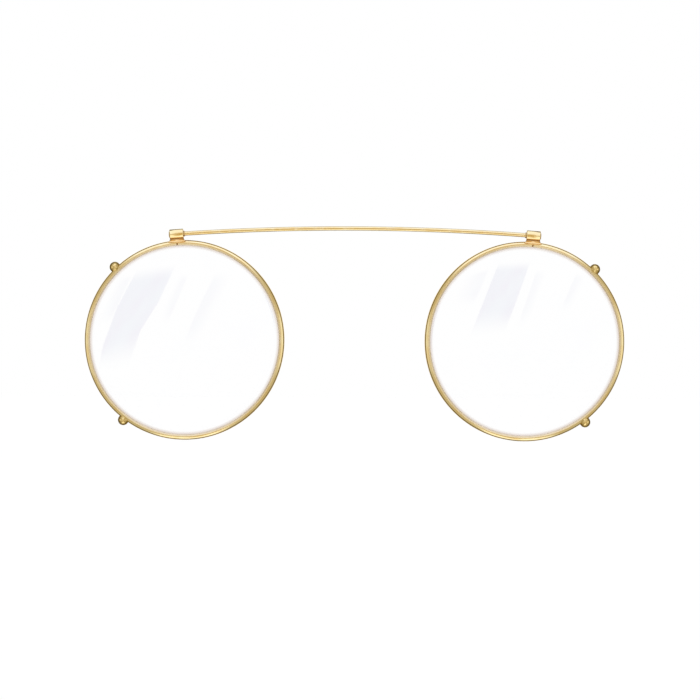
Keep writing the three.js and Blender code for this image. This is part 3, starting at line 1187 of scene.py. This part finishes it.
# %% [markdown]
# ## What the gold mirrors
#
# Polished metal has no look of its own: it shows the room. A studio gives it a wide bright panel
# overhead, narrower ones at both sides and below, a warm upright slit in line with the camera,
# darkness round the back that draws the thin outline, and a pale panel far behind. Real panels could
# stand in the scene, but a world that paints the room by direction has no noise, and only mirror rays
# see it. A pair of numbers below says where one tone starts to change and where the next is reached.

# %% The room that metal mirrors
LEFT_PANEL = (0.82, 0.80, 0.76, 1)
RIGHT_PANEL = (0.95, 0.94, 0.92, 1)
OVERHEAD_WHITE = (1.10, 1.15, 1.35, 1)
LOW_WHITE = (1.2, 1.2, 1.2, 1)
BETWEEN_PANELS = (0.55, 0.50, 0.39, 1)
NEAR_CAMERA = (0.90, 0.88, 0.81, 1)
WARM_GAP = (0.62, 0.47, 0.23, 1)
DARK_BACK = (0.13, 0.12, 0.07, 1)
FAR_WHITE = (1.05, 0.98, 0.84, 1)
FAR_GREY = (0.56, 0.47, 0.33, 1)
DEGREES = math.degrees(1)
OVERHEAD_EDGE = (0.66, 0.86)
UPRIGHT_EDGE = (0.90, 0.97)
BESIDE_EDGE = (0.92, 0.985)
LEFT_TO_RIGHT = (-0.5, 0.5)
LOW_TO_HIGH = (-0.45, 0.55)
SLIT_EDGE = (0.062, 0.085)
SLIT_FLARE = 0.073
SLIT_GAP_LOW = (-68, -27)
SLIT_GAP_HIGH = (4, 46)
NEAR_EDGE = (2, 9)
OUTLINE_EDGE = (82, 98)
OUTLINE_UPRIGHT_SHIFT = 6
OUTLINE_SLIT_SHIFT = 22
FAR_EDGE = (132, 150)
FAR_SLIT_SHIFT = 16


def mirrored_room(way):
    """The colour that polished metal mirrors in each direction."""
    x, y, z = [part(way, name) for name in "XYZ"]
    angle = way.maths("ARCCOSINE", -1.0 * y) * DEGREES
    lift = way.maths("ARCTAN2", z, -1.0 * y) * DEGREES
    out = way.maths("SQRT", way.maths("MAXIMUM", 1 - y * y, 1e-6))
    height = z / out
    aside = way.maths("ABSOLUTE", x) / out
    over = rise(height, *OVERHEAD_EDGE)
    under = rise(-1.0 * height, *UPRIGHT_EDGE)
    beside = rise(aside, *BESIDE_EDGE)
    slit = 1 - rise(way.maths("ABSOLUTE", x) - SLIT_FLARE * z, *SLIT_EDGE)
    gap = slit * rise(lift, *SLIT_GAP_LOW) * (1 - rise(lift, *SLIT_GAP_HIGH))
    upright = rise(way.maths("ABSOLUTE", height), *UPRIGHT_EDGE)
    side_panels = mix_colours(rise(x, *LEFT_TO_RIGHT), LEFT_PANEL, RIGHT_PANEL)
    colour = mix_colours(beside, BETWEEN_PANELS, side_panels)
    colour = mix_colours(under, colour, LOW_WHITE)
    colour = mix_colours(over, colour, OVERHEAD_WHITE)
    colour = mix_colours(rise(angle, *NEAR_EDGE), NEAR_CAMERA, colour)
    colour = mix_colours(gap, colour, WARM_GAP)
    outline = angle - OUTLINE_UPRIGHT_SHIFT * upright - OUTLINE_SLIT_SHIFT * slit
    colour = mix_colours(rise(outline, *OUTLINE_EDGE), colour, DARK_BACK)
    far = mix_colours(rise(z, *LOW_TO_HIGH), FAR_GREY, FAR_WHITE)
    return mix_colours(rise(angle - FAR_SLIT_SHIFT * slit, *FAR_EDGE), colour, far)


# %% [markdown]
# ## The world
#
# Rays from the camera, or through glass, meet plain white, as in the photograph. So do sharp mirror
# rays, which only the perfectly smooth lenses send out. Other mirror rays meet the room, and soft
# rays an even light that is a little over half of what the floor needs to look white.

# %% Put the world together
ROOM_LIGHT = (0.58, 0.58, 0.58, 1)
WHITE = (1, 1, 1, 1)
world = bpy.data.worlds.new("studio")
world.use_nodes = True
world.node_tree.nodes.clear()
world.cycles.sampling_method = "NONE"
start = Signal(world.node_tree)
way = start.node("TexCoord", output="Generated")
colour = mix_colours(path_share(start, "Is Glossy Ray"), ROOM_LIGHT, mirrored_room(way))
white_rays = path_share(start, "Is Camera Ray", "Is Transmission Ray", "Is Singular Ray")
colour = mix_colours(white_rays, colour, WHITE)
start.node("OutputWorld", None, {"Surface": start.node("Background", None, {"Color": colour})})
bpy.context.scene.world = world
print("studio:", len(world.node_tree.nodes), "nodes")

# %% [markdown]
# ## Key light
#
# One wide, distant light from above gives the floor the rest of its light and a soft shadow. A
# distant light is equally strong everywhere, so the paper has no bright patch. It isn't mirrored,
# because the studio's panels already stand for it in the metal.

# %% The key light
KEY_STRENGTH = 1.5
KEY_FROM = Vector((-0.2, -0.12, 1))
KEY_WIDTH = math.radians(14)
key = bpy.data.lights.new("key_light", "SUN")
key.energy = KEY_STRENGTH
key.angle = KEY_WIDTH
key_holder = add_object("key_light", key)
key_holder.rotation_euler = (-KEY_FROM).to_track_quat("-Z", "Y").to_euler()
key_holder.visible_glossy = False
print("key light from", tuple(KEY_FROM))

# %% [markdown]
# ## Camera
#
# The photograph was taken from straight in front with a long lens, and the part hangs a quarter of
# a degree clockwise in it. The camera's distance follows from the lens and from how much of the
# object's plane the picture shows, and it is rolled the other way by that quarter degree.

# %% The camera at the photograph's angle
PHOTO_WIDTH = 157.74 * MM
PHOTO_CENTRE = (-1.01 * MM, -2.10 * MM)
PHOTO_ROLL = math.radians(0.28)
LENS_LENGTH = 150
SENSOR_WIDTH = 36

camera = add_object("camera", bpy.data.cameras.new("camera"))
camera.data.lens = LENS_LENGTH
camera.data.sensor_width = SENSOR_WIDTH
camera_distance = PHOTO_WIDTH * LENS_LENGTH / SENSOR_WIDTH
camera.location = (PHOTO_CENTRE[0], rim_middle - camera_distance, PHOTO_CENTRE[1])
camera.rotation_euler = (math.pi / 2, -PHOTO_ROLL, 0)
bpy.context.scene.camera = camera
bpy.context.scene.view_settings.view_transform = "Standard"
print("camera", round(camera_distance, 3), "m in front")

# %% [markdown]
# ## Slats that the lenses mirror
#
# The lenses in the photograph carry slanting, bluish streaks: a bright studio wall with darker slats,
# mirrored in the glass. The slats here are thin strips between camera and lens that nothing but the
# lenses' sharp mirror rays can see. To place one, its edges are chosen on the lens, and each point
# is sent on along the mirror ray from the camera to the plane of the slats.

# %% Following a mirror ray from the camera
SLAT_DISTANCE = 150 * MM


def mirrored_point(side, across, up):
    """Where the camera sees the slats' plane in a lens, at shares of the lens radius."""
    flat = Vector((across * lens_shoulder, 0, up * lens_shoulder))
    forward = rim_middle - LENS_THICKNESS / 2 - lens_dome(flat.length)
    facing = Vector((flat.x, 0, flat.z)) / LENS_CURVE_RADIUS
    facing.y = -math.sqrt(1 - facing.length_squared)
    point = lens_frame(side).translation + Vector((flat.x, forward, flat.z))
    ray = (point - camera.location).normalized()
    mirrored = ray - 2 * ray.dot(facing) * facing
    return point + mirrored * ((-SLAT_DISTANCE - point.y) / mirrored.y)


print("middle of the left lens mirrors", [round(v / MM) for v in mirrored_point("left", 0, 0)])

# %% The slats' finish
SLAT_BLUE = (0.08, 0.20, 0.52, 1)
SLAT_VIOLET = (0.13, 0.07, 0.46, 1)
SLAT_CLOUD = 0.45
SLAT_HEAD = 0.14
SLAT_TAIL = 0.62


def slat_finish(name, strength, left_soft, right_soft):
    """Dark in the middle, white at both ends, and as soft along its two edges as it says."""
    material, start = new_finish(name)
    place = start.node("TexCoord", output="UV")
    across = part(place, "X")
    along = part(place, "Y")
    ends = rise(along, 0.0, SLAT_HEAD) * (1 - rise(along, SLAT_TAIL, 1.0))
    edges = rise(across, 0.0, left_soft) * (1 - rise(across, 1 - right_soft, 1.0))
    clouds = noise(place, SLAT_CLOUD)
    share = strength * ends * edges * (0.6 + 0.5 * clouds)
    tone = mix_colours(rise(clouds, 0.35, 0.65), SLAT_BLUE, SLAT_VIOLET)
    shown = start.node("Emission", None, {"Color": mix_colours(share, WHITE, tone)})
    unseen = start.node("BsdfTransparent")
    sharp = path_share(start, "Is Singular Ray")
    slat = start.node("MixShader", None, {0: sharp, 1: unseen, 2: shown})
    start.node("OutputMaterial", None, {"Surface": slat})
    return material


strong_slat = slat_finish("strong_slat", 1.0, left_soft=0.04, right_soft=0.06)
right_fading_slat = slat_finish("right_fading_slat", 0.42, left_soft=0.12, right_soft=0.8)
left_fading_slat = slat_finish("left_fading_slat", 0.42, left_soft=0.8, right_soft=0.12)
print("slat finishes:", strong_slat.name, right_fading_slat.name, left_fading_slat.name)

# %% The slats
SLATS = {
    "left_long_slat": (
        strong_slat,
        ((-0.50, 0.76), (-0.72, 0.34), (-0.87, -0.08), (-0.92, -0.34)),
        ((-0.07, 0.82), (-0.26, 0.40), (-0.45, 0.10), (-0.59, -0.32)),
    ),
    "left_narrow_slat": (
        left_fading_slat,
        ((-0.06, 0.72), (-0.30, 0.18)),
        ((0.05, 0.70), (-0.19, 0.12)),
    ),
    "left_inner_slat": (
        right_fading_slat,
        ((0.33, 0.74), (0.10, 0.26), (-0.02, -0.06)),
        ((0.54, 0.72), (0.30, 0.22), (0.12, -0.08)),
    ),
    "left_outer_slat": (
        left_fading_slat,
        ((-0.72, 0.66), (-0.98, 0.10)),
        ((-0.54, 0.70), (-0.80, 0.14)),
    ),
    "right_long_slat": (
        strong_slat,
        ((-0.28, 0.84), (-0.43, 0.46), (-0.60, 0.02)),
        ((0.07, 0.86), (-0.07, 0.46), (-0.22, 0.06)),
    ),
    "right_narrow_slat": (
        right_fading_slat,
        ((0.12, 0.78), (-0.10, 0.12)),
        ((0.26, 0.76), (0.02, 0.10)),
    ),
    "right_inner_slat": (
        right_fading_slat,
        ((0.54, 0.74), (0.36, 0.32)),
        ((0.66, 0.70), (0.48, 0.28)),
    ),
    "right_outer_slat": (
        left_fading_slat,
        ((-0.66, 0.70), (-0.80, 0.36)),
        ((-0.36, 0.78), (-0.54, 0.36)),
    ),
}
SLAT_ROWS = 12


def point_along(edge, share):
    """A point at a share of the way along an edge of two or more points."""
    place = share * (len(edge) - 1)
    index = min(int(place), len(edge) - 2)
    return Vector(edge[index]).lerp(Vector(edge[index + 1]), place - index)


def slat_mesh(name, side, edges):
    shares = [row / SLAT_ROWS for row in range(SLAT_ROWS + 1)]
    points = [mirrored_point(side, *point_along(edge, share)) for share in shares for edge in edges]
    faces = [(2 * row, 2 * row + 1, 2 * row + 3, 2 * row + 2) for row in range(SLAT_ROWS)]
    mesh = bpy.data.meshes.new(name)
    mesh.from_pydata(points, [], faces)
    layer = mesh.uv_layers.new(name="along")
    for loop in mesh.loops:
        layer.data[loop.index].uv = (loop.vertex_index % 2, loop.vertex_index // 2 / SLAT_ROWS)
    return mesh


for name, (finish, *edges) in SLATS.items():
    side = name.split("_")[0]
    mesh = slat_mesh(name, side, edges)
    mesh.materials.append(finish)
    slat = add_object(name, mesh)
    slat.visible_camera = False
    slat.visible_diffuse = False
    slat.visible_transmission = False
    slat.visible_shadow = False
    slat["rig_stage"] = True
    print(name, "before the", side, "lens")

# %% [markdown]
# ## Sizes
#
# The looks may not change the object's size, so the box of the working model and the box of the
# dressed one are printed side by side.

# %% Compare the boxes
boxes = {"cad": cad_box, "visual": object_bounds()}
for name, (low, high) in boxes.items():
    print(name, [round((b - a) / MM, 2) for a, b in zip(low, high)], "mm")
